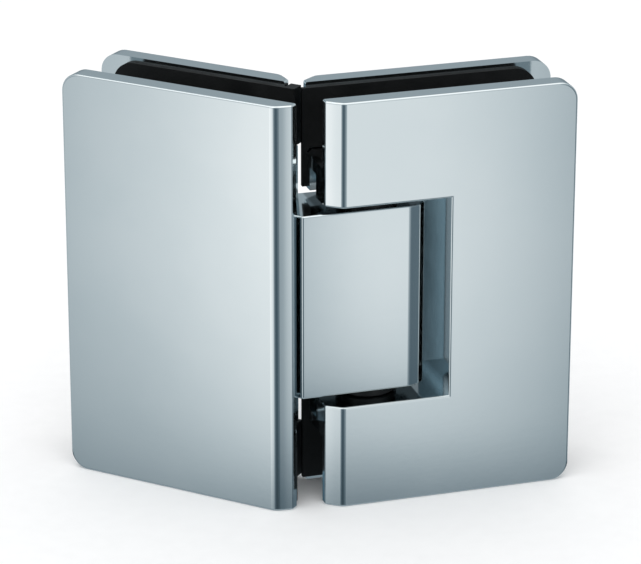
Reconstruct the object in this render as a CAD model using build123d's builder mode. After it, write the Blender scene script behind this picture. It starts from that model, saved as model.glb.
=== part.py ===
from build123d import *
import os
from math import sin, cos, radians, sqrt

os.makedirs("parts", exist_ok=True)

# ---------------------------------------------------------------------------
# 135 degree glass-to-glass door hinge for 10 mm glass.
# Origin on the pivot axis at mid-height.  +Z up along the pivot pin.
# +X along the closed door leaf, away from the pin.  The outer (convex) side
# of the corner faces -Y, the inner side +Y.
# ---------------------------------------------------------------------------

# --- common sizes -----------------------------------------------------------
plate_h = 90.0            # height of both leaves
plate_t = 4.2             # thickness of each clamp plate
gasket_t = 1.0            # rubber packing on each clamp plate
glass_t = 10.0            # clear slot between the packings
half_t = glass_t / 2 + gasket_t + plate_t      # 10.2, leaf half thickness
half_gap = glass_t / 2 + gasket_t              # 6.0, plate to plate half gap
corner_r = 4.0            # outer corners of the plates
edge_r = 0.45             # softened polished edges
bevel_len = 3.3           # bevel of the inner end, along the leaf
bevel_dep = 2.5           # bevel of the inner end, into the thickness
bevel_soft = 3.0          # radius where the bevel runs into the fixed leaf's face
door_soft = 2.0           # and into the door leaf's
bevel_crown = 0.075       # the bevels are slightly crowned by polishing
bevel_slope = sqrt(bevel_len ** 2 + bevel_dep ** 2)
crown_u = bevel_len / 2 - bevel_crown * bevel_dep / bevel_slope   # middle of a bevel, along the leaf
crown_d = bevel_dep / 2 - bevel_crown * bevel_len / bevel_slope   # and below the face
gasket_h = 88.0
gasket_r = 5.0
thread_gap = 0.05         # plain bores stand for threads, this much over size

# --- pivot ------------------------------------------------------------------
pin_r = 4.5
pin_half = 30.4           # the pin reaches this far up and down
pin_run = 0.05            # radial running clearance in the bushes
pin_flat = 3.7            # distance of the four cam flats from the axis
cam_z = 10.0              # height of the two cam sections above / below middle
cam_h = 9.4

# --- door leaf --------------------------------------------------------------
door_in = -11.5           # inner end of the door leaf
door_out = 42.8           # outer end
notch_x = 15.25           # inner wall of the notch
notch_z = 22.2            # half height of the notch
rim_in = -11.5            # inner end of the raised rim, flush with the leaf
rim_x = 24.4              # outside of the raised rim
rim_z = 30.8
rim_r = 4.0
rim_slant = 0.8           # its inner corners are cut off
relief_y0, relief_y1 = -1.3, 3.1   # shallow relief in its inner end
relief_x, relief_z = 3.0, 27.3
door_screw_x, door_screw_z = 19.9, 26.6        # clamp screws
grub_z = 26.6             # set screws that lock the pin in the door leaf
gasket_out = 39.3         # outer end of the door leaf's packings
front_gasket_in = -11.0   # inner end of its front packing
gasket_in = -12.55        # the back packing stands out past the inner end

# --- fixed leaf -------------------------------------------------------------
leaf_ang = 45.0           # the fixed leaf turns away by this much, 180 - 135
sa, ca = sin(radians(leaf_ang)), cos(radians(leaf_ang))
fix_x, fix_y = -22.77, -7.88   # where the bevel meets the fixed front face
fix_in_front = -3.16      # inner end of the front plate, along the leaf
fix_bevel = 2.92          # its bevel is a little shorter than the others
fix_in_back = 5.9         # inner end of the shorter back plate
fix_out = 50.3            # outer end of both plates
back_d = plate_t + 2 * half_gap                # depth of the back plate's inside
full_d = 2 * half_t                            # 20.4
tongue_in = 3.25
lip_out = 5.6             # lip behind the tongue's inner end, beside the back plate
lip_h = 0.8
fix_gasket_in = 3.15      # inner end of the fixed back packing
rib_h = 2.2               # its moulded edge beside the back plate's end
tongue_out = 24.0
tongue_z = 31.2
clamp_u, clamp_z = 15.5, 22.5  # clamp screws through the back plate
body_u, body_z = 18.0, 8.0     # body screws into the front plate
boss_r = 4.5
boss_h = 3.0
fix_gasket_out = 46.8

# --- hinge body -------------------------------------------------------------
block_half = 7.35         # half thickness of the block
block_z = 20.4            # half height of the block
block_end = 11.0          # free end
block_in = -16.2          # where the block turns into the neck
end_bev_x, end_bev_y = 3.55, 0.62   # slight bevel at the free end, then
end_cut = 1.46                      # a 45 degree one
neck_d = 5.02             # neck front, just behind the front plate

# --- bushes, plungers, springs ----------------------------------------------
bush_r = 5.8
bush_in = 14.9            # inner end of a bush
flange_r = 6.5
flange_top = 22.1
plunger_r = 4.0
bore_r = 4.05
plunger_front = -4.55
plunger_back = -13.0
pocket_r = 2.9
pocket_end = -8.6
wire_r = 0.55
coil_r = 2.15
spring_back = -17.3
plug_back = -20.4

# --- screws -----------------------------------------------------------------
m6_r, m6_clear, m6_head, m6_sink = 3.0, 3.3, 5.7, 2.7
m5_r, m5_clear, m5_head, m5_sink = 2.5, 2.7, 4.6, 2.1
recess = 0.25             # screw heads sit this far below the face

# Plane of the fixed leaf: x along the leaf away from the corner, y up, normal
# into the leaf's depth, so offset(d) is d behind the front face.
LEAF = Plane(origin=(fix_x, fix_y, 0), x_dir=(-ca, sa, 0), z_dir=(sa, ca, 0))


def leaf_xy(u, d):
    """Plan position of a point on the fixed leaf, u along it and d deep."""
    return (fix_x - ca * u + sa * d, fix_y + sa * u + ca * d)


def leaf_point(u, d, z):
    x, y = leaf_xy(u, d)
    return (x, y, z)


def leaf_uzd(v):
    """Leaf coordinates (along, height, depth) of a point."""
    rx, ry = v.X - fix_x, v.Y - fix_y
    return (-ca * rx + sa * ry, v.Z, sa * rx + ca * ry)


def upright(e):
    return abs(e.tangent_at(0.5).Z) > 0.99


def countersunk(plane, shank, head, sink, length, key, key_dep):
    """One countersunk socket screw, its head flush with the plane."""
    with Locations(plane):
        Cylinder(shank, length - 0.5, align=(Align.CENTER, Align.CENTER, Align.MAX))
        Cone(shank, head, sink, align=(Align.CENTER, Align.CENTER, Align.MAX))
    with Locations(plane.offset(-(length - 0.5))):
        Cone(shank - 0.5, shank, 0.5, align=(Align.CENTER, Align.CENTER, Align.MAX))
    with BuildSketch(plane) as socket:
        RegularPolygon(key / 2, 6, major_radius=False)
    extrude(socket.sketch, amount=-key_dep, mode=Mode.SUBTRACT)


# ===========================================================================
# FIXED LEAF
# ===========================================================================

# --- front plate: full rectangle, bevelled along its inner upright edge ------
with BuildPart() as fixed_front_plate:
    with BuildSketch(Plane.XY.offset(-plate_h / 2)):
        with BuildLine():
            Polyline(
                leaf_xy(fix_in_front + fix_bevel, 0),
                leaf_xy(fix_out, 0),
                leaf_xy(fix_out, plate_t),
                leaf_xy(fix_in_front, plate_t),
                leaf_xy(fix_in_front, bevel_dep),
            )
            ThreePointArc(
                leaf_xy(fix_in_front, bevel_dep),
                leaf_xy(fix_in_front + crown_u - (bevel_len - fix_bevel) / 2, crown_d),
                leaf_xy(fix_in_front + fix_bevel, 0),
            )
        make_face()
        knee = leaf_xy(fix_in_front + fix_bevel, 0)
        fillet(vertices().sort_by_distance((knee[0], knee[1], -plate_h / 2))[0], bevel_soft)
    extrude(amount=plate_h)
    with BuildSketch(LEAF.offset(-1)):
        with Locations(((fix_in_front - 10 + fix_out) / 2, 0)):
            RectangleRounded(fix_out - fix_in_front + 10, plate_h, corner_r)
    extrude(amount=full_d, mode=Mode.INTERSECT)
    # softened outside edges: all round the face, the bevel and the inner end
    rounded = [
        e for e in edges()
        if leaf_uzd(e.center())[2] < plate_t - 0.05
        and not (upright(e) and leaf_uzd(e.center())[2] < bevel_dep - 0.3
                 and leaf_uzd(e.center())[0] < fix_in_front + bevel_len + 3)
    ]
    fillet(rounded, edge_r)
    # bosses on the inside, which key the hinge body and carry its threads
    with BuildSketch(LEAF.offset(plate_t - 0.5)):
        with Locations((body_u, body_z), (body_u, -body_z)):
            Circle(boss_r)
    extrude(amount=boss_h + 0.5)
    with BuildSketch(LEAF.offset(plate_t + boss_h)):
        with Locations((body_u, body_z), (body_u, -body_z)):
            Circle(m5_r + thread_gap)
    extrude(amount=-(boss_h + plate_t - 1.2), mode=Mode.SUBTRACT)
fixed_front_plate.part.label = "fixed_front_plate"
export_step(fixed_front_plate.part, "parts/fixed_front_plate.step")

# --- back plate: shorter, so that it clears the inside of the corner ---------
with BuildPart() as fixed_back_plate:
    with BuildSketch(Plane.XY.offset(-plate_h / 2)):
        with BuildLine():
            Polyline(
                leaf_xy(fix_in_back + bevel_len, full_d),
                leaf_xy(fix_out, full_d),
                leaf_xy(fix_out, back_d),
                leaf_xy(fix_in_back, back_d),
                leaf_xy(fix_in_back, full_d - bevel_dep),
            )
            ThreePointArc(
                leaf_xy(fix_in_back, full_d - bevel_dep),
                leaf_xy(fix_in_back + crown_u, full_d - crown_d),
                leaf_xy(fix_in_back + bevel_len, full_d),
            )
        make_face()
        knee = leaf_xy(fix_in_back + bevel_len, full_d)
        fillet(vertices().sort_by_distance((knee[0], knee[1], -plate_h / 2))[0], bevel_soft)
    extrude(amount=plate_h)
    with BuildSketch(LEAF.offset(-1)):
        with Locations(((fix_in_back - 10 + fix_out) / 2, 0)):
            RectangleRounded(fix_out - fix_in_back + 10, plate_h, corner_r)
    extrude(amount=full_d + 4, mode=Mode.INTERSECT)
    rounded = [
        e for e in edges()
        if leaf_uzd(e.center())[2] > back_d + 0.05
        and not (upright(e) and leaf_uzd(e.center())[2] > full_d - bevel_dep + 0.3
                 and leaf_uzd(e.center())[0] < fix_in_back + bevel_len + 3)
    ]
    fillet(rounded, edge_r)
    with Locations(*[Plane(origin=leaf_point(clamp_u, full_d, s * clamp_z), z_dir=(sa, ca, 0)) for s in (1, -1)]):
        CounterSinkHole(radius=m6_clear, counter_sink_radius=m6_head + recess + 0.1, depth=plate_t + 1, counter_sink_angle=90)
fixed_back_plate.part.label = "fixed_back_plate"
export_step(fixed_back_plate.part, "parts/fixed_back_plate.step")

# --- packings: 1 mm rubber, cut out around the hinge body's tongue -----------
with BuildPart() as fixed_front_gasket:
    with BuildSketch(LEAF.offset(plate_t)):
        with Locations(((-2.8 + fix_gasket_out) / 2, 0)):
            Rectangle(fix_gasket_out + 2.8, gasket_h)
        fillet(vertices().group_by(Axis.X)[-1], gasket_r)
        with Locations(((-3.5 + tongue_out + 0.3) / 2, 0)):
            Rectangle(tongue_out + 0.3 + 3.5, 2 * tongue_z + 0.6, mode=Mode.SUBTRACT)
    extrude(amount=gasket_t)
fixed_front_gasket.part.label = "fixed_front_gasket"
export_step(fixed_front_gasket.part, "parts/fixed_front_gasket.step")

with BuildPart() as fixed_back_gasket:
    with BuildSketch(LEAF.offset(back_d - gasket_t)):
        with Locations(((fix_gasket_in + fix_gasket_out) / 2, 0)):
            Rectangle(fix_gasket_out - fix_gasket_in, gasket_h)
        fillet(vertices().group_by(Axis.X)[-1], gasket_r)
        with Locations(((tongue_in - 1 + tongue_out + 0.3) / 2, 0)):
            Rectangle(tongue_out + 0.3 - tongue_in + 1, 2 * tongue_z + 0.6, mode=Mode.SUBTRACT)
    extrude(amount=gasket_t)
    # moulded edge that closes the gap beside the back plate, above and below the tongue
    with BuildSketch(LEAF.offset(back_d - 0.5)):
        with Locations(((fix_gasket_in + lip_out) / 2, 0)):
            Rectangle(lip_out - fix_gasket_in, gasket_h)
            Rectangle(lip_out - fix_gasket_in, 2 * tongue_z + 0.6, mode=Mode.SUBTRACT)
    extrude(amount=0.5 + rib_h)
    fillet(edges().filter_by(lambda e: leaf_uzd(e.center())[2] > back_d + rib_h - 0.05
                             and leaf_uzd(e.center())[0] < fix_gasket_in + 0.05), 0.2)
fixed_back_gasket.part.label = "fixed_back_gasket"
export_step(fixed_back_gasket.part, "parts/fixed_back_gasket.step")

# --- hinge body: block, neck and tongue in one bent casting ------------------
with BuildPart() as hinge_body:
    # block and neck
    with BuildSketch(Plane.XY.offset(-block_z)):
        with BuildLine():
            Polyline(
                (block_end - end_cut, -block_half + end_bev_y),
                (block_end, -block_half + end_bev_y + end_cut),
                (block_end, block_half - end_bev_y - end_cut),
                (block_end - end_cut, block_half - end_bev_y),
                (block_end - end_bev_x, block_half),
                (-15.09, block_half),
                leaf_xy(12.0, back_d - 1),
                leaf_xy(12.0, neck_d),
                (block_in, -block_half),
                (block_end - end_bev_x, -block_half),
                close=True,
            )
        make_face()
        for px, py, r in (
            (block_end, -block_half + end_bev_y + end_cut, 0.6),
            (block_end, block_half - end_bev_y - end_cut, 0.6),
            (block_end - end_cut, -block_half + end_bev_y, 0.5),
            (block_end - end_cut, block_half - end_bev_y, 0.5),
            (block_end - end_bev_x, block_half, 4.0),
            (block_end - end_bev_x, -block_half, 4.0),
            (block_in, -block_half, 0.6),
        ):
            fillet(vertices().sort_by_distance((px, py, -block_z))[0], r)
    extrude(amount=2 * block_z)
    ends = [
        e for e in edges()
        if abs(abs(e.center().Z) - block_z) < 1e-3
        and leaf_uzd(e.center())[0] < tongue_in + 1.2
    ]
    fillet(ends, edge_r)
    # tongue between the two clamp plates
    with BuildSketch(LEAF.offset(plate_t)):
        with Locations(((tongue_in + tongue_out) / 2, 0)):
            Rectangle(tongue_out - tongue_in, 2 * tongue_z)
        fillet(vertices().group_by(Axis.X)[-1], 3.0)
    extrude(amount=2 * half_gap)
    # lip behind the tongue's inner end, which the back plate's edge butts against
    with BuildSketch(LEAF.offset(back_d - 1)):
        with Locations(((tongue_in + lip_out) / 2, 0)):
            Rectangle(lip_out - tongue_in, 2 * tongue_z)
    extrude(amount=1 + lip_h)
    # pivot bore, wider at both ends for the bushes
    with BuildSketch(Plane.XY.offset(-block_z - 1)):
        Circle(pin_r + 0.3)
    extrude(amount=2 * block_z + 2, mode=Mode.SUBTRACT)
    with BuildSketch(Plane.XY.offset(bush_in), Plane.XY.offset(-block_z - 1)):
        Circle(bush_r)
    extrude(amount=block_z - bush_in + 1, mode=Mode.SUBTRACT)
    # two plunger bores, out through the tongue's front face
    with BuildSketch(Plane(origin=(0, 0, 0), x_dir=(0, 1, 0), z_dir=(-1, 0, 0))):
        with Locations((0, cam_z), (0, -cam_z)):
            Circle(bore_r)
    extrude(amount=32, mode=Mode.SUBTRACT)
    # counterbores for the front plate's bosses, and the body screws' holes
    with BuildSketch(LEAF.offset(plate_t - 1)):
        with Locations((body_u, body_z), (body_u, -body_z)):
            Circle(boss_r + 0.1)
    extrude(amount=boss_h + 1.1, mode=Mode.SUBTRACT)
    with Locations(*[Plane(origin=leaf_point(body_u, back_d, s * body_z), z_dir=(sa, ca, 0)) for s in (1, -1)]):
        CounterSinkHole(radius=m5_clear, counter_sink_radius=m5_head + recess + 0.1, depth=2 * half_gap, counter_sink_angle=90)
    # threads for the clamp screws
    with BuildSketch(LEAF.offset(back_d + 1)):
        with Locations((clamp_u, clamp_z), (clamp_u, -clamp_z)):
            Circle(m6_r + thread_gap)
    extrude(amount=-(2 * half_gap + 1 - 1.5), mode=Mode.SUBTRACT)
hinge_body.part.label = "hinge_body"
export_step(hinge_body.part, "parts/hinge_body.step")

# --- screws of the fixed leaf ------------------------------------------------
with BuildPart() as body_fixing_screws:
    for s in (1, -1):
        countersunk(
            Plane(origin=leaf_point(body_u, back_d - recess, s * body_z), z_dir=(sa, ca, 0)),
            m5_r, m5_head, m5_sink, back_d - recess - 1.6, 3.0, 2.2,
        )
body_fixing_screws.part.label = "body_fixing_screws"
export_step(body_fixing_screws.part, "parts/body_fixing_screws.step")

with BuildPart() as fixed_clamp_screws:
    for s in (1, -1):
        countersunk(
            Plane(origin=leaf_point(clamp_u, full_d - recess, s * clamp_z), z_dir=(sa, ca, 0)),
            m6_r, m6_head, m6_sink, 13.6, 4.0, 2.6,
        )
fixed_clamp_screws.part.label = "fixed_clamp_screws"
export_step(fixed_clamp_screws.part, "parts/fixed_clamp_screws.step")

# --- flanged bushes that carry the pin and the door leaf ----------------------
with BuildPart() as upper_bush:
    with BuildSketch(Plane.XY.offset(bush_in)):
        Circle(bush_r - 0.02)
    extrude(amount=block_z - bush_in)
    with BuildSketch(Plane.XY.offset(block_z)):
        Circle(flange_r)
    extrude(amount=flange_top - block_z)
    chamfer(edges().filter_by(GeomType.CIRCLE).sort_by(Axis.Z)[-1], 0.3)
    with BuildSketch(Plane.XY.offset(bush_in - 1)):
        Circle(pin_r + pin_run)
    extrude(amount=flange_top - bush_in + 2, mode=Mode.SUBTRACT)
upper_bush.part.label = "upper_bush"
export_step(upper_bush.part, "parts/upper_bush.step")

with BuildPart() as lower_bush:
    with BuildSketch(Plane.XY.offset(-block_z)):
        Circle(bush_r - 0.02)
    extrude(amount=block_z - bush_in)
    with BuildSketch(Plane.XY.offset(-flange_top)):
        Circle(flange_r)
    extrude(amount=flange_top - block_z)
    chamfer(edges().filter_by(GeomType.CIRCLE).sort_by(Axis.Z)[0], 0.3)
    with BuildSketch(Plane.XY.offset(-flange_top - 1)):
        Circle(pin_r + pin_run)
    extrude(amount=flange_top - bush_in + 2, mode=Mode.SUBTRACT)
lower_bush.part.label = "lower_bush"
export_step(lower_bush.part, "parts/lower_bush.step")

# --- spring plungers, which drop onto the pin's flats -------------------------
AFT = Plane(origin=(0, 0, 0), x_dir=(0, 1, 0), z_dir=(-1, 0, 0))   # offset runs to -X

with BuildPart() as upper_plunger:
    with BuildSketch(AFT.offset(-plunger_front)):
        with Locations((0, cam_z)):
            Circle(plunger_r)
    extrude(amount=plunger_front - plunger_back)
    chamfer(edges().filter_by(GeomType.CIRCLE), 0.35)
    with BuildSketch(AFT.offset(-plunger_back)):
        with Locations((0, cam_z)):
            Circle(pocket_r)
    extrude(amount=-(pocket_end - plunger_back), mode=Mode.SUBTRACT)
upper_plunger.part.label = "upper_plunger"
export_step(upper_plunger.part, "parts/upper_plunger.step")

with BuildPart() as lower_plunger:
    with BuildSketch(AFT.offset(-plunger_front)):
        with Locations((0, -cam_z)):
            Circle(plunger_r)
    extrude(amount=plunger_front - plunger_back)
    chamfer(edges().filter_by(GeomType.CIRCLE), 0.35)
    with BuildSketch(AFT.offset(-plunger_back)):
        with Locations((0, -cam_z)):
            Circle(pocket_r)
    extrude(amount=-(pocket_end - plunger_back), mode=Mode.SUBTRACT)
lower_plunger.part.label = "lower_plunger"
export_step(lower_plunger.part, "parts/lower_plunger.step")

# --- springs: close-set heavy compression coils -------------------------------
coil_len = pocket_end - spring_back - 2 * wire_r - 0.1
coil_start = spring_back + wire_r + 0.05

with BuildPart() as upper_spring:
    with BuildLine():
        coil = Helix(coil_len / 5, coil_len, coil_r, center=(coil_start, 0, cam_z), direction=(1, 0, 0))
    with BuildSketch(Plane(origin=coil @ 0, z_dir=coil % 0)):
        Circle(wire_r)
    sweep(path=coil, is_frenet=True)
upper_spring.part.label = "upper_spring"
export_step(upper_spring.part, "parts/upper_spring.step")

with BuildPart() as lower_spring:
    with BuildLine():
        coil = Helix(coil_len / 5, coil_len, coil_r, center=(coil_start, 0, -cam_z), direction=(1, 0, 0))
    with BuildSketch(Plane(origin=coil @ 0, z_dir=coil % 0)):
        Circle(wire_r)
    sweep(path=coil, is_frenet=True)
lower_spring.part.label = "lower_spring"
export_step(lower_spring.part, "parts/lower_spring.step")

# --- set screws that close the plunger bores and preload the springs ----------
with BuildPart() as spring_screws:
    with BuildSketch(AFT.offset(-spring_back)):
        with Locations((0, cam_z), (0, -cam_z)):
            Circle(bore_r - 0.01)
    extrude(amount=spring_back - plug_back)
    with BuildSketch(AFT.offset(-plug_back)):
        with Locations((0, cam_z), (0, -cam_z)):
            RegularPolygon(2.0, 6, major_radius=False)
    extrude(amount=-2.0, mode=Mode.SUBTRACT)
spring_screws.part.label = "spring_screws"
export_step(spring_screws.part, "parts/spring_screws.step")

# ===========================================================================
# DOOR LEAF
# ===========================================================================

# --- pivot pin: round in the bushes, four flats where the plungers bear -------
with BuildPart() as pivot_pin:
    with BuildSketch(Plane.XY.offset(-pin_half)):
        Circle(pin_r)
    extrude(amount=2 * pin_half)
    chamfer(edges().filter_by(GeomType.CIRCLE), 0.6)
    for zc in (cam_z, -cam_z):
        with BuildSketch(Plane.XY.offset(zc - cam_h / 2)):
            Circle(pin_r + 1)
            Rectangle(2 * pin_flat, 2 * pin_flat, mode=Mode.SUBTRACT)
        extrude(amount=cam_h, mode=Mode.SUBTRACT)
    # seats for the two set screws of the door leaf
    with BuildSketch(Plane(origin=(0, pin_r + 1, 0), x_dir=(-1, 0, 0), z_dir=(0, 1, 0))):
        with Locations((0, grub_z), (0, -grub_z)):
            Rectangle(10, 6.4)
    extrude(amount=-(1 + 0.6), mode=Mode.SUBTRACT)
pivot_pin.part.label = "pivot_pin"
export_step(pivot_pin.part, "parts/pivot_pin.step")

# --- door front plate: C shape around the block, with a raised rim inside -----
with BuildPart() as door_front_plate:
    with BuildSketch(Plane.XY.offset(-plate_h / 2)):
        with BuildLine():
            Polyline(
                (door_in + bevel_len, -half_t),
                (door_out, -half_t),
                (door_out, -half_gap),
                (door_in, -half_gap),
                (door_in, -half_t + bevel_dep),
            )
            ThreePointArc(
                (door_in, -half_t + bevel_dep),
                (door_in + crown_u, -half_t + crown_d),
                (door_in + bevel_len, -half_t),
            )
        make_face()
        fillet(vertices().sort_by_distance((door_in + bevel_len, -half_t, -plate_h / 2))[0], door_soft)
    extrude(amount=plate_h)
    with BuildSketch(Plane.XZ.offset(-1)):
        with Locations(((door_in - 10 + door_out) / 2, 0)):
            RectangleRounded(door_out - door_in + 10, plate_h, corner_r)
        with Locations(((door_in - 20 + notch_x) / 2, 0)):
            Rectangle(notch_x - door_in + 20, 2 * notch_z, mode=Mode.SUBTRACT)
    extrude(amount=half_t + 3, mode=Mode.INTERSECT)
    rounded = [
        e for e in edges()
        if e.center().Y < -half_gap - 0.05
        and not (upright(e) and e.center().Y < -half_t + bevel_dep - 0.3 and e.center().X < door_in + bevel_len + 3)
        and not (abs(abs(e.center().Z) - notch_z) < 0.1 and abs(e.center().X - notch_x) < 0.1)
    ]
    fillet(rounded, edge_r)
    # raised rim, up to the middle of the leaf
    with BuildSketch(Plane.XZ):
        with Locations(((rim_in + rim_x) / 2, 0)):
            Rectangle(rim_x - rim_in, 2 * rim_z)
        fillet(vertices().group_by(Axis.X)[-1], rim_r)
        chamfer(vertices().group_by(Axis.X)[0], rim_slant)
        with Locations(((rim_in - 20 + notch_x) / 2, 0)):
            Rectangle(notch_x - rim_in + 20, 2 * notch_z, mode=Mode.SUBTRACT)
    extrude(amount=half_gap)
    # shallow relief in the rim's inner end
    with BuildSketch(Plane.XZ):
        with Locations((rim_in - 1, 0)):
            Rectangle(2 * relief_x + 2, 2 * relief_z)
    extrude(amount=-relief_y0, mode=Mode.SUBTRACT)
    # half of the split bore that grips the pin
    with BuildSketch(Plane.XY.offset(-rim_z - 1)):
        Circle(pin_r)
    extrude(amount=2 * rim_z + 2, mode=Mode.SUBTRACT)
    # threads for the clamp screws
    with BuildSketch(Plane.XZ):
        with Locations((door_screw_x, door_screw_z), (door_screw_x, -door_screw_z)):
            Circle(m6_r + thread_gap)
    extrude(amount=half_t - 2.0, mode=Mode.SUBTRACT)
door_front_plate.part.label = "door_front_plate"
export_step(door_front_plate.part, "parts/door_front_plate.step")

# --- door back plate: the same casting mirrored, with the screw holes ---------
with BuildPart() as door_back_plate:
    with BuildSketch(Plane.XY.offset(-plate_h / 2)):
        with BuildLine():
            Polyline(
                (door_in + bevel_len, half_t),
                (door_out, half_t),
                (door_out, half_gap),
                (door_in, half_gap),
                (door_in, half_t - bevel_dep),
            )
            ThreePointArc(
                (door_in, half_t - bevel_dep),
                (door_in + crown_u, half_t - crown_d),
                (door_in + bevel_len, half_t),
            )
        make_face()
        fillet(vertices().sort_by_distance((door_in + bevel_len, half_t, -plate_h / 2))[0], door_soft)
    extrude(amount=plate_h)
    with BuildSketch(Plane.XZ.offset(1)):
        with Locations(((door_in - 10 + door_out) / 2, 0)):
            RectangleRounded(door_out - door_in + 10, plate_h, corner_r)
        with Locations(((door_in - 20 + notch_x) / 2, 0)):
            Rectangle(notch_x - door_in + 20, 2 * notch_z, mode=Mode.SUBTRACT)
    extrude(amount=-(half_t + 3), mode=Mode.INTERSECT)
    rounded = [
        e for e in edges()
        if e.center().Y > half_gap + 0.05
        and not (upright(e) and e.center().Y > half_t - bevel_dep + 0.3 and e.center().X < door_in + bevel_len + 3)
        and not (abs(abs(e.center().Z) - notch_z) < 0.1 and abs(e.center().X - notch_x) < 0.1)
    ]
    fillet(rounded, edge_r)
    with BuildSketch(Plane.XZ):
        with Locations(((rim_in + rim_x) / 2, 0)):
            Rectangle(rim_x - rim_in, 2 * rim_z)
        fillet(vertices().group_by(Axis.X)[-1], rim_r)
        chamfer(vertices().group_by(Axis.X)[0], rim_slant)
        with Locations(((rim_in - 20 + notch_x) / 2, 0)):
            Rectangle(notch_x - rim_in + 20, 2 * notch_z, mode=Mode.SUBTRACT)
    extrude(amount=-half_gap)
    with BuildSketch(Plane.XZ):
        with Locations((rim_in - 1, 0)):
            Rectangle(2 * relief_x + 2, 2 * relief_z)
    extrude(amount=-relief_y1, mode=Mode.SUBTRACT)
    with BuildSketch(Plane.XY.offset(-rim_z - 1)):
        Circle(pin_r)
    extrude(amount=2 * rim_z + 2, mode=Mode.SUBTRACT)
    with Locations(*[Plane(origin=(door_screw_x, half_t, s * door_screw_z), z_dir=(0, 1, 0)) for s in (1, -1)]):
        CounterSinkHole(radius=m6_clear, counter_sink_radius=m6_head + recess + 0.1, depth=half_t + 1, counter_sink_angle=90)
    with BuildSketch(Plane(origin=(0, half_t + 1, 0), x_dir=(-1, 0, 0), z_dir=(0, 1, 0))):
        with Locations((0, grub_z), (0, -grub_z)):
            Circle(m5_r + thread_gap)
    extrude(amount=-(half_t + 1 - 2), mode=Mode.SUBTRACT)
door_back_plate.part.label = "door_back_plate"
export_step(door_back_plate.part, "parts/door_back_plate.step")

# --- packings of the door leaf -----------------------------------------------
with BuildPart() as door_front_gasket:
    with BuildSketch(Plane.XZ.offset(half_gap)):
        with Locations(((front_gasket_in + gasket_out) / 2, 0)):
            Rectangle(gasket_out - front_gasket_in, gasket_h)
        fillet(vertices().group_by(Axis.X)[-1], gasket_r)
        with Locations(((front_gasket_in - 1 + rim_x + 0.3) / 2, 0)):
            Rectangle(rim_x + 0.3 - front_gasket_in + 1, 2 * rim_z + 0.6, mode=Mode.SUBTRACT)
    extrude(amount=-gasket_t)
door_front_gasket.part.label = "door_front_gasket"
export_step(door_front_gasket.part, "parts/door_front_gasket.step")

with BuildPart() as door_back_gasket:
    with BuildSketch(Plane.XZ.offset(-half_gap)):
        with Locations(((gasket_in + gasket_out) / 2, 0)):
            Rectangle(gasket_out - gasket_in, gasket_h)
        fillet(vertices().group_by(Axis.X)[-1], gasket_r)
        # cut out to the rim's outline, with a narrow edge left along the rim's inner end
        with BuildLine():
            Polyline(
                (rim_in, rim_z - rim_slant + 0.35),
                (rim_in + rim_slant - 0.05, rim_z + 0.3),
                (rim_x + 0.3, rim_z + 0.3),
                (rim_x + 0.3, -rim_z - 0.3),
                (rim_in + rim_slant - 0.05, -rim_z - 0.3),
                (rim_in, -rim_z + rim_slant - 0.35),
                close=True,
            )
        make_face(mode=Mode.SUBTRACT)
        with Locations((rim_in, 0)):
            Rectangle(10, 2 * notch_z + 0.6, mode=Mode.SUBTRACT)
    extrude(amount=gasket_t)
door_back_gasket.part.label = "door_back_gasket"
export_step(door_back_gasket.part, "parts/door_back_gasket.step")

# --- screws of the door leaf ---------------------------------------------------
with BuildPart() as door_clamp_screws:
    for s in (1, -1):
        countersunk(
            Plane(origin=(door_screw_x, half_t - recess, s * door_screw_z), z_dir=(0, 1, 0)),
            m6_r, m6_head, m6_sink, 17.5, 4.0, 2.6,
        )
door_clamp_screws.part.label = "door_clamp_screws"
export_step(door_clamp_screws.part, "parts/door_clamp_screws.step")

with BuildPart() as pin_set_screws:
    for s in (1, -1):
        top = Plane(origin=(0, 9.2, s * grub_z), z_dir=(0, 1, 0))
        with BuildSketch(top):
            Circle(m5_r)
        extrude(amount=-(9.2 - (pin_r - 0.6) - 0.02))
        with BuildSketch(top):
            RegularPolygon(1.25, 6, major_radius=False)
        extrude(amount=-2.4, mode=Mode.SUBTRACT)
    chamfer(edges().filter_by(GeomType.CIRCLE), 0.3)
pin_set_screws.part.label = "pin_set_screws"
export_step(pin_set_screws.part, "parts/pin_set_screws.step")
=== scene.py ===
"""Looks for the angled glass-to-glass shower door hinge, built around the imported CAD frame."""
import math

import bpy
from mathutils import Matrix, Vector


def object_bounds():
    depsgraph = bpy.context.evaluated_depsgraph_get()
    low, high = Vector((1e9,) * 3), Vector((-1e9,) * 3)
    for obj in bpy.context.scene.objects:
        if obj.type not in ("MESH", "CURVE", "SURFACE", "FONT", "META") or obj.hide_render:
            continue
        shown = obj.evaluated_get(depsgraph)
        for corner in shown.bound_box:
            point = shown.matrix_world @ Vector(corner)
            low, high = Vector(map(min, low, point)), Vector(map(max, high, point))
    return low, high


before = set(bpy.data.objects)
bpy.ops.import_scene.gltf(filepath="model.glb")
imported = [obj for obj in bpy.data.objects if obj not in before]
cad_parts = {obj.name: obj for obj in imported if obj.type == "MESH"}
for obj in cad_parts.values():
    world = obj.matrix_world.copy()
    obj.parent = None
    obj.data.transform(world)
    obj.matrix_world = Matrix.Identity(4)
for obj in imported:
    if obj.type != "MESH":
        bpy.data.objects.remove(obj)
cad_lo, cad_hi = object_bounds()
scene = bpy.context.scene
FLOOR_Z = cad_lo.z


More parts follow.
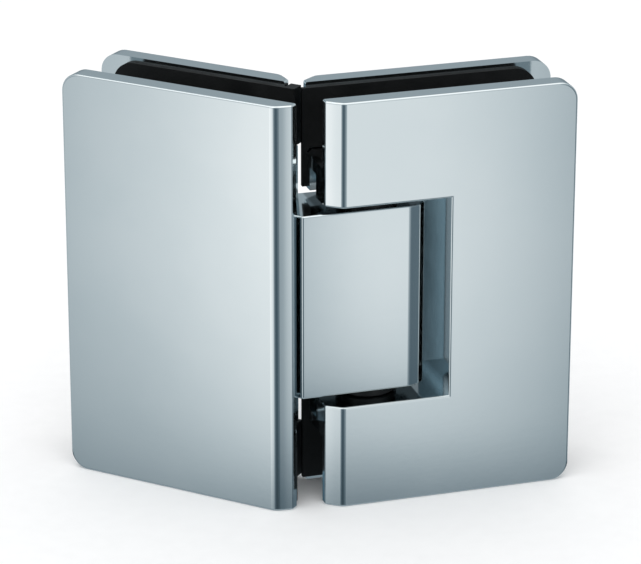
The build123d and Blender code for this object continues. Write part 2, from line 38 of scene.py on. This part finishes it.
# ---------------------------------------------------------------- node helpers
def new_material(name):
    """An empty node material and a function that adds nodes to it."""
    mat = bpy.data.materials.new(name)
    mat.use_nodes = True
    tree = mat.node_tree
    tree.nodes.clear()

    def add(kind, props=None, **values):
        node = tree.nodes.new(kind)
        for key, value in (props or {}).items():
            setattr(node, key, value)
        for key, value in values.items():
            socket = node.inputs[key.replace("_", " ")]
            if isinstance(value, bpy.types.NodeSocket):
                tree.links.new(value, socket)
            else:
                socket.default_value = value
        return node

    return mat, tree, add


def maths(add, tree, operation, a, b=None, clamp=False):
    node = add("ShaderNodeMath", {"operation": operation, "use_clamp": clamp})
    for i, value in enumerate((a, b)):
        if value is None:
            continue
        if isinstance(value, bpy.types.NodeSocket):
            tree.links.new(value, node.inputs[i])
        else:
            node.inputs[i].default_value = value
    return node.outputs[0]


def ramp(add, tree, factor, stops, interpolation="LINEAR"):
    """Colour ramp; stops are (position, grey or (r, g, b))."""
    node = add("ShaderNodeValToRGB")
    node.color_ramp.interpolation = interpolation
    tree.links.new(factor, node.inputs["Fac"])
    elements = node.color_ramp.elements
    while len(elements) > 1:
        elements.remove(elements[-1])
    for i, (position, value) in enumerate(stops):
        colour = (value, value, value) if isinstance(value, (int, float)) else value
        element = elements[0] if i == 0 else elements.new(position)
        element.position = position
        element.color = (*colour, 1.0)
    return node.outputs["Color"]


def noise(add, vector, scale, detail=3.0, roughness=0.5, distortion=0.0):
    return add("ShaderNodeTexNoise", {"noise_dimensions": "3D"}, Vector=vector, Scale=scale,
               Detail=detail, Roughness=roughness, Distortion=distortion).outputs["Fac"]


def stretched(add, vector, scale):
    return add("ShaderNodeMapping", Vector=vector, Scale=scale).outputs["Vector"]


def remap(add, value, low, high, from_low=0.3, from_high=0.7):
    return add("ShaderNodeMapRange", {"clamp": True}, Value=value, From_Min=from_low, From_Max=from_high,
               To_Min=low, To_Max=high).outputs["Result"]


def finish_material(tree, add, shader):
    out = add("ShaderNodeOutputMaterial")
    tree.links.new(shader, out.inputs["Surface"])


# ---------------------------------------------------------------- metals
def polished_chrome(name, dark, light, rough_low, rough_high, wave, crown=(0.0, 0.0)):
    """Decorative chrome: near-mirror plate with polishing waviness, fine orange peel and faint buffing haze.

    Deep in the gap between block and arms the colour is painted near black: painted shade, not thin plating.  crown
    bends the polished faces a little, along X and Z.
    """
    mat, tree, add = new_material(name)
    place = add("ShaderNodeTexCoord").outputs["Object"]
    cloud = noise(add, place, 38.0, 4.0, 0.55)
    grain = noise(add, place, 900.0, 3.0, 0.6)
    buff = noise(add, stretched(add, place, (60.0, 60.0, 2600.0)), 1.0, 4.0, 0.65)
    haze = maths(add, tree, "ADD", maths(add, tree, "MULTIPLY", cloud, 0.6),
                 maths(add, tree, "ADD", maths(add, tree, "MULTIPLY", grain, 0.2),
                       maths(add, tree, "MULTIPLY", buff, 0.2)))
    plated = ramp(add, tree, cloud, ((0.30, dark), (0.70, light)), "EASE")
    axes = add("ShaderNodeSeparateXYZ", Vector=place)
    level = maths(add, tree, "ABSOLUTE", axes.outputs["Z"])
    # painted shade: mask of the thin gap between block and arms, by height and X, where the chrome colour is darkened
    gap_shade_mask = maths(add, tree, "MULTIPLY", remap(add, level, 0.0, 1.0, 0.02034, 0.02039), remap(add, level, 1.0, 0.0, 0.02222, 0.02236))
    gap_shade_mask = maths(add, tree, "MULTIPLY", gap_shade_mask, maths(add, tree, "MULTIPLY", remap(add, axes.outputs["X"], 0.0, 1.0, -0.0122, -0.0116),
                                                   remap(add, axes.outputs["X"], 1.0, 0.0, 0.0128, 0.0150)))
    painted_gap_shade = maths(add, tree, "MULTIPLY", gap_shade_mask, remap(add, cloud, 0.52, 0.60))
    colour = add("ShaderNodeMix", {"data_type": "RGBA"})
    tree.links.new(painted_gap_shade, colour.inputs[0])
    tree.links.new(plated, colour.inputs[6])
    # near-black colour of the painted shade in the gap
    colour.inputs[7].default_value = (0.020, 0.032, 0.036, 1.0)
    colour = colour.outputs[2]
    swell = noise(add, place, 52.0, 1.0, 0.4)
    peel = noise(add, place, 620.0, 2.0, 0.5)
    bend = maths(add, tree, "ADD",
                 maths(add, tree, "MULTIPLY", maths(add, tree, "POWER", maths(add, tree, "SUBTRACT", axes.outputs["X"], 0.007), 2.0), crown[0]),
                 maths(add, tree, "MULTIPLY", maths(add, tree, "POWER", axes.outputs["Z"], 2.0), crown[1]))
    rise = maths(add, tree, "ADD", maths(add, tree, "MULTIPLY", swell, wave), maths(add, tree, "MULTIPLY", bend, -1.0))
    bump_a = add("ShaderNodeBump", Strength=1.0, Distance=1.0, Height=rise).outputs["Normal"]
    bump_b = add("ShaderNodeBump", Strength=1.0, Distance=0.0000011, Height=peel, Normal=bump_a).outputs["Normal"]
    bump_c = add("ShaderNodeBump", Strength=1.0, Distance=0.00000035, Height=buff, Normal=bump_b).outputs["Normal"]
    shader = add("ShaderNodeBsdfPrincipled", Base_Color=colour, Metallic=1.0,
                 Roughness=remap(add, haze, rough_low, rough_high), Normal=bump_c)
    finish_material(tree, add, shader.outputs["BSDF"])
    return mat


def machined_steel(name, dark, light, rough_low, rough_high, axis_scale, bump):
    """Turned or ground steel: fine tool lines across the axis, mottled sheen and a few darker specks."""
    mat, tree, add = new_material(name)
    place = add("ShaderNodeTexCoord").outputs["Object"]
    lines = noise(add, stretched(add, place, axis_scale), 1.0, 5.0, 0.6)
    mottle = noise(add, place, 420.0, 4.0, 0.6)
    specks = add("ShaderNodeTexVoronoi", {"feature": "F1"}, Vector=place, Scale=1300.0).outputs["Distance"]
    pit = remap(add, specks, 1.0, 0.0, 0.02, 0.16)
    mix = maths(add, tree, "ADD", maths(add, tree, "MULTIPLY", lines, 0.55), maths(add, tree, "MULTIPLY", mottle, 0.45))
    mix = maths(add, tree, "SUBTRACT", mix, maths(add, tree, "MULTIPLY", pit, 0.12))
    colour = ramp(add, tree, mix, ((0.32, dark), (0.66, light)))
    height = maths(add, tree, "SUBTRACT", lines, maths(add, tree, "MULTIPLY", pit, 0.5))
    normal = add("ShaderNodeBump", Strength=1.0, Distance=bump, Height=height).outputs["Normal"]
    shader = add("ShaderNodeBsdfPrincipled", Base_Color=colour, Metallic=1.0,
                 Roughness=remap(add, mottle, rough_low, rough_high), Normal=normal)
    finish_material(tree, add, shader.outputs["BSDF"])
    return mat


# ---------------------------------------------------------------- black parts
def black_rubber(name):
    """Packing sheet: matt black with a fine moulded grain and a faint cloudy tone."""
    mat, tree, add = new_material(name)
    place = add("ShaderNodeTexCoord").outputs["Object"]
    grain = noise(add, place, 2600.0, 3.0, 0.65)
    cloud = noise(add, place, 120.0, 4.0, 0.6)
    cell = add("ShaderNodeTexVoronoi", {"feature": "F1"}, Vector=place, Scale=3800.0).outputs["Distance"]
    colour = ramp(add, tree, cloud, ((0.30, (0.0035, 0.0040, 0.0042)), (0.72, (0.0085, 0.0092, 0.0095))))
    height = maths(add, tree, "ADD", grain, maths(add, tree, "MULTIPLY", cell, 0.6))
    normal = add("ShaderNodeBump", Strength=0.55, Distance=0.00006, Height=height).outputs["Normal"]
    shader = add("ShaderNodeBsdfPrincipled", Base_Color=colour, Roughness=remap(add, cloud, 0.52, 0.72), Normal=normal)
    shader.inputs["Specular IOR Level"].default_value = 0.32
    finish_material(tree, add, shader.outputs["BSDF"])
    return mat


def black_acetal(name):
    """Turned acetal bush: satin black with faint lathe rings about the upright axis."""
    mat, tree, add = new_material(name)
    place = add("ShaderNodeTexCoord").outputs["Object"]
    rings = noise(add, stretched(add, place, (90.0, 90.0, 9000.0)), 1.0, 3.0, 0.6)
    cloud = noise(add, place, 300.0, 3.0, 0.5)
    colour = ramp(add, tree, cloud, ((0.30, (0.0075, 0.0080, 0.0085)), (0.70, (0.0140, 0.0145, 0.0155))))
    normal = add("ShaderNodeBump", Strength=0.5, Distance=0.00002, Height=rings).outputs["Normal"]
    shader = add("ShaderNodeBsdfPrincipled", Base_Color=colour, Roughness=remap(add, rings, 0.30, 0.46), Normal=normal)
    shader.inputs["Specular IOR Level"].default_value = 0.45
    finish_material(tree, add, shader.outputs["BSDF"])
    return mat


MATERIALS = {
    "chrome_plate": polished_chrome("chrome_plate_polished", (0.780, 0.835, 0.852), (0.820, 0.868, 0.882), 0.075, 0.115, 0.0000060),
    "chrome_body": polished_chrome("chrome_body_polished", (0.772, 0.828, 0.846), (0.812, 0.862, 0.878), 0.080, 0.125, 0.0000070, (0.9, 0.45)),
    "chrome_screw": machined_steel("chrome_screw_turned", (0.56, 0.58, 0.60), (0.78, 0.80, 0.82), 0.16, 0.26, (700.0, 700.0, 700.0), 0.000010),
    "steel_screw": machined_steel("steel_screw_turned", (0.27, 0.27, 0.28), (0.45, 0.45, 0.46), 0.28, 0.42, (900.0, 900.0, 900.0), 0.000014),
    "pin_steel": machined_steel("pin_steel_ground", (0.42, 0.42, 0.43), (0.60, 0.60, 0.61), 0.22, 0.34, (160.0, 160.0, 7000.0), 0.000012),
    "spring_steel": machined_steel("spring_steel_wire", (0.15, 0.15, 0.16), (0.31, 0.31, 0.33), 0.30, 0.44, (1600.0, 1600.0, 1600.0), 0.000010),
    "brass_plunger": machined_steel("brass_plunger_turned", (0.50, 0.33, 0.12), (0.74, 0.54, 0.26), 0.20, 0.32, (6000.0, 160.0, 160.0), 0.000010),
    "black_acetal": black_acetal("black_acetal_turned"),
    "black_rubber": black_rubber("black_rubber_sheet"),
}

for name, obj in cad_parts.items():
    for index, old in enumerate(obj.data.materials):
        key = old.name.split(".")[0]
        obj.data.materials[index] = MATERIALS[key]


# ---------------------------------------------------------------- floor
def disc(name, radius, z, segments=96):
    verts = [(radius * math.cos(2 * math.pi * i / segments), radius * math.sin(2 * math.pi * i / segments), z)
             for i in range(segments)]
    mesh = bpy.data.meshes.new(name)
    mesh.from_pydata(verts, [], [list(range(segments))])
    obj = bpy.data.objects.new(name, mesh)
    scene.collection.objects.link(obj)
    return obj


floor = disc("studio_floor", 7.0, FLOOR_Z - 0.00002)
mat, tree, add = new_material("studio_floor_paper")
place = add("ShaderNodeTexCoord").outputs["Object"]
fibre = noise(add, place, 240.0, 4.0, 0.6)
shader = add("ShaderNodeBsdfPrincipled",
             Base_Color=ramp(add, tree, fibre, ((0.3, (0.93, 0.935, 0.94)), (0.7, (0.95, 0.955, 0.96)))),
             Roughness=0.9)
shader.inputs["Specular IOR Level"].default_value = 0.0
finish_material(tree, add, shader.outputs["BSDF"])
floor.data.materials.append(mat)
floor.visible_glossy = False


# ---------------------------------------------------------------- soft light tent, seen only in the gloss
TENT = 0.60


def tent_mesh(radius, rings=48, segments=96):
    verts, faces = [], []
    for i in range(1, rings):
        polar = math.pi * i / rings
        for j in range(segments):
            turn = 2 * math.pi * j / segments
            verts.append((radius * math.sin(polar) * math.cos(turn), radius * math.sin(polar) * math.sin(turn),
                          radius * math.cos(polar)))
    top, bottom = len(verts), len(verts) + 1
    verts += [(0, 0, radius), (0, 0, -radius)]
    for i in range(rings - 2):
        for j in range(segments):
            a, b = i * segments + j, i * segments + (j + 1) % segments
            faces.append((a, b, b + segments, a + segments))
    for j in range(segments):
        faces.append((top, (j + 1) % segments, j))
        last = (rings - 2) * segments
        faces.append((bottom, last + j, last + (j + 1) % segments))
    mesh = bpy.data.meshes.new("light_tent")
    mesh.from_pydata(verts, [], faces)
    obj = bpy.data.objects.new("light_tent", mesh)
    scene.collection.objects.link(obj)
    return obj


tent = tent_mesh(TENT)
mat, tree, add = new_material("light_tent_glow")
place = add("ShaderNodeTexCoord").outputs["Object"]
axes = add("ShaderNodeSeparateXYZ", Vector=place)
turn = maths(add, tree, "ARCTAN2", axes.outputs["Y"], axes.outputs["X"])       # -pi..pi
turn = maths(add, tree, "ADD", maths(add, tree, "DIVIDE", turn, 2 * math.pi), 0.5)
height = maths(add, tree, "ADD", maths(add, tree, "DIVIDE", axes.outputs["Z"], 2 * TENT), 0.5)


def around(degrees):
    """Ramp position of a direction, counted from +X towards +Y."""
    return ((degrees + 180.0) % 360.0) / 360.0


def up(degrees):
    """Ramp position of a height above the horizon."""
    return (math.sin(math.radians(degrees)) + 1) / 2


# two feathered soft boxes either side of the camera, a dim gap between them where the camera stands,
# a dark corner behind on the left and a low, dull glow round the rest of the room
front = ramp(add, tree, turn, [(around(d), v) for d, v in (
    (180, 0.30), (185, 0.37), (188, 0.47), (190, 0.58), (192, 0.65), (193, 0.73), (195, 0.83), (196.5, 0.93),
    (200, 1.00), (204, 1.05), (208, 0.99), (213, 0.90), (221, 0.82), (224, 0.68), (228, 0.42), (232, 0.24), (237, 0.12),
    (243, 0.06), (254, 0.05), (258, 0.12), (262, 0.17), (267, 0.20), (273, 0.31), (279, 0.54), (285, 0.79), (287, 0.80),
    (290, 0.79), (293, 0.66), (296, 0.44), (302, 0.14))] + [(around(302.3), 0.0)])
side = ramp(add, tree, turn, [(around(302), 0.0)] + [(around(d), v) for d, v in (
    (302.3, 0.14), (309, 0.11), (320, 0.11), (327, 0.12), (335, 0.26), (344, 0.38), (352, 0.40), (359.8, 0.38))] + [(0.5001, 0.0)])
rear = ramp(add, tree, turn, [(0.4999, 0.0)] + [(around(d), v) for d, v in (
    (0.1, 0.38), (6, 0.44), (15, 0.56), (35, 0.40), (55, 0.22), (80, 0.20), (97, 0.28), (106, 0.54), (128, 0.46), (138, 0.46),
    (150, 0.50), (165, 0.55), (174, 0.40), (179.9, 0.30))])
# a narrow unlit corner behind, on the left, sharper than a ramp can draw it: 1 inside, 0 outside
unlit = maths(add, tree, "SUBTRACT", remap(add, turn, 0.0, 1.0, around(99.5), around(102.5)),
              remap(add, turn, 0.0, 1.0, around(108.35), around(108.65)))
open_air = maths(add, tree, "SUBTRACT", 1.0, unlit)
panels = maths(add, tree, "ADD", maths(add, tree, "ADD", front, side), maths(add, tree, "MULTIPLY", rear, open_air))
# how the boxes fade out below the camera's height: the left one sooner than the right one
reach_left = ramp(add, tree, height, [(up(e), v) for e, v in (
    (-90, 0.0), (-40, 0.0), (-32, 0.03), (-29, 0.16), (-27.5, 0.34), (-26, 0.55), (-25, 0.66), (-24, 0.76), (-22, 0.87),
    (-19, 0.99), (-17, 1.02), (-14, 1.0), (0, 0.90), (10, 0.62), (25, 0.45), (60, 0.45), (90, 0.45))])
reach_right = ramp(add, tree, height, [(up(e), v) for e, v in (
    (-90, 0.0), (-40, 0.0), (-32, 0.03), (-30, 0.10), (-28, 0.27), (-27, 0.46), (-26, 0.70), (-25, 0.84), (-23, 0.90),
    (-21, 0.96), (-18, 1.0), (-14, 0.98), (0, 0.90), (10, 0.62), (25, 0.45), (60, 0.45), (90, 0.45))])
share = ramp(add, tree, turn, ((around(192), 0.0), (around(197), 0.55), (around(204), 1.0), (around(276), 1.0),
                               (around(283), 0.6), (around(285.5), 0.6), (around(287.5), 1.0)))
keep = maths(add, tree, "SUBTRACT", 1.0, share)
reach = maths(add, tree, "ADD", maths(add, tree, "MULTIPLY", reach_right, share), maths(add, tree, "MULTIPLY", reach_left, keep))
ambient = ramp(add, tree, height, [(up(e), v) for e, v in (
    (-90, 0.42), (-60, 0.40), (-45, 0.34), (-37, 0.27), (-34, 0.20), (-31.5, 0.06), (-28, 0.045), (-10, 0.06), (5, 0.09), (12, 0.20), (20, 0.27), (34, 0.30), (42, 0.50), (55, 1.0),
    (90, 1.15))])
corner = maths(add, tree, "ADD", maths(add, tree, "MULTIPLY", open_air, 0.9), 0.1)
glow = maths(add, tree, "ADD", maths(add, tree, "MULTIPLY", panels, reach), maths(add, tree, "MULTIPLY", ambient, corner))
tint = ramp(add, tree, glow, ((0.0, (0.64, 0.97, 1.18)), (0.12, (0.66, 0.97, 1.18)), (0.25, (0.80, 0.985, 1.10)),
                              (0.5, (0.88, 0.99, 1.05)), (0.8, (0.95, 1.0, 1.02)), (1.0, (0.99, 1.0, 1.0))))
hue = ramp(add, tree, turn, ((0.0, (1.0, 1.0, 1.0)), (around(100), (1.0, 1.0, 1.0)), (around(103), (0.68, 1.0, 1.16)),
                             (around(109.5), (0.68, 1.0, 1.16)), (around(113), (1.0, 1.0, 1.0))))
shade = add("ShaderNodeMix", {"data_type": "RGBA", "blend_type": "MULTIPLY"})
shade.inputs[0].default_value = 1.0
tree.links.new(tint, shade.inputs[6])
tree.links.new(hue, shade.inputs[7])
light = add("ShaderNodeEmission", Color=shade.outputs[2], Strength=glow)
finish_material(tree, add, light.outputs["Emission"])
mat.cycles.emission_sampling = "NONE"
tent.data.materials.append(mat)
for flag in ("visible_camera", "visible_diffuse", "visible_transmission", "visible_volume_scatter", "visible_shadow"):
    setattr(tent, flag, False)


# ---------------------------------------------------------------- room light and one broad overhead light
world = bpy.data.worlds.new("studio_air")
scene.world = world
world.use_nodes = True
background = world.node_tree.nodes["Background"]
background.inputs["Color"].default_value = (1.0, 1.0, 1.0, 1.0)
background.inputs["Strength"].default_value = 0.97

lamp = bpy.data.lights.new("overhead_softbox", "AREA")
lamp.shape = "DISK"
lamp.size = 0.9
lamp.energy = 3.2
lamp.color = (1.0, 1.0, 1.0)
overhead = bpy.data.objects.new("overhead_softbox", lamp)
overhead.location = (-0.25, -0.35, 1.15)
overhead.rotation_euler = (Vector((0, 0, 0)) - overhead.location).to_track_quat("-Z", "Y").to_euler()
overhead.visible_glossy = False
scene.collection.objects.link(overhead)

# ---------------------------------------------------------------- camera
data = bpy.data.cameras.new("product_camera")
data.sensor_fit = "HORIZONTAL"
data.sensor_width = 36.0
data.lens = 3412.0 * 36.0 / 641.0
data.clip_start, data.clip_end = 0.02, 40.0
camera = bpy.data.objects.new("product_camera", data)
scene.collection.objects.link(camera)
pitch, azimuth, roll = math.radians(20.956), math.radians(17.23), math.radians(0.029)
forward = Vector((math.sin(azimuth) * math.cos(pitch), math.cos(azimuth) * math.cos(pitch), -math.sin(pitch)))
right = Vector((math.cos(azimuth), -math.sin(azimuth), 0.0))
above = right.cross(forward)
turned_right = right * math.cos(roll) + above * math.sin(roll)
turned_above = above * math.cos(roll) - right * math.sin(roll)
camera.matrix_world = Matrix((
    (turned_right.x, turned_above.x, -forward.x, -0.20836),
    (turned_right.y, turned_above.y, -forward.y, -0.63930),
    (turned_right.z, turned_above.z, -forward.z, 0.25906),
    (0, 0, 0, 1)))
scene.camera = camera

scene.view_settings.view_transform = "Standard"
scene.view_settings.look = "None"
scene.view_settings.exposure = 0.0
scene.view_settings.gamma = 1.0
